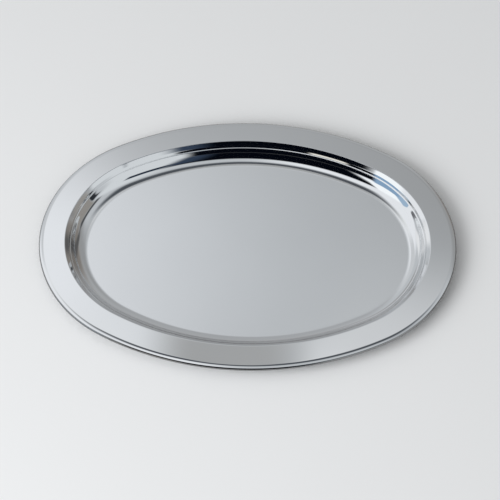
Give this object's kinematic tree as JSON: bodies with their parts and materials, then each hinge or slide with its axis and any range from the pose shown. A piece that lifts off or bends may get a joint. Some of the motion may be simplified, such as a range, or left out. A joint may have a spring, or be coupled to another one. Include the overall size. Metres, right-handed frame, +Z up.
{
  "type": "oval serving tray",
  "caption": "Oval serving tray in polished stainless sheet: flat well, coved wall, stepped shoulder and wide smooth rim with a rolled edge.",
  "frame": {"origin": "middle of the underside of the floor, on the surface that the tray stands on", "axes": "+X along the tray's length, +Y across its width, +Z up out of the well"},
  "size_m": [0.5, 0.3698, 0.0195],
  "materials": {
    "polished_steel": "mirror-polished stainless steel, slightly softer on the floor of the well",
    "drawn_wire": "plain drawn steel wire, hidden inside the rolled edge"
  },
  "bodies": {
    "root": {"tray_sheet": "polished_steel", "edge_wire": "drawn_wire"}
  },
  "joints": []
}
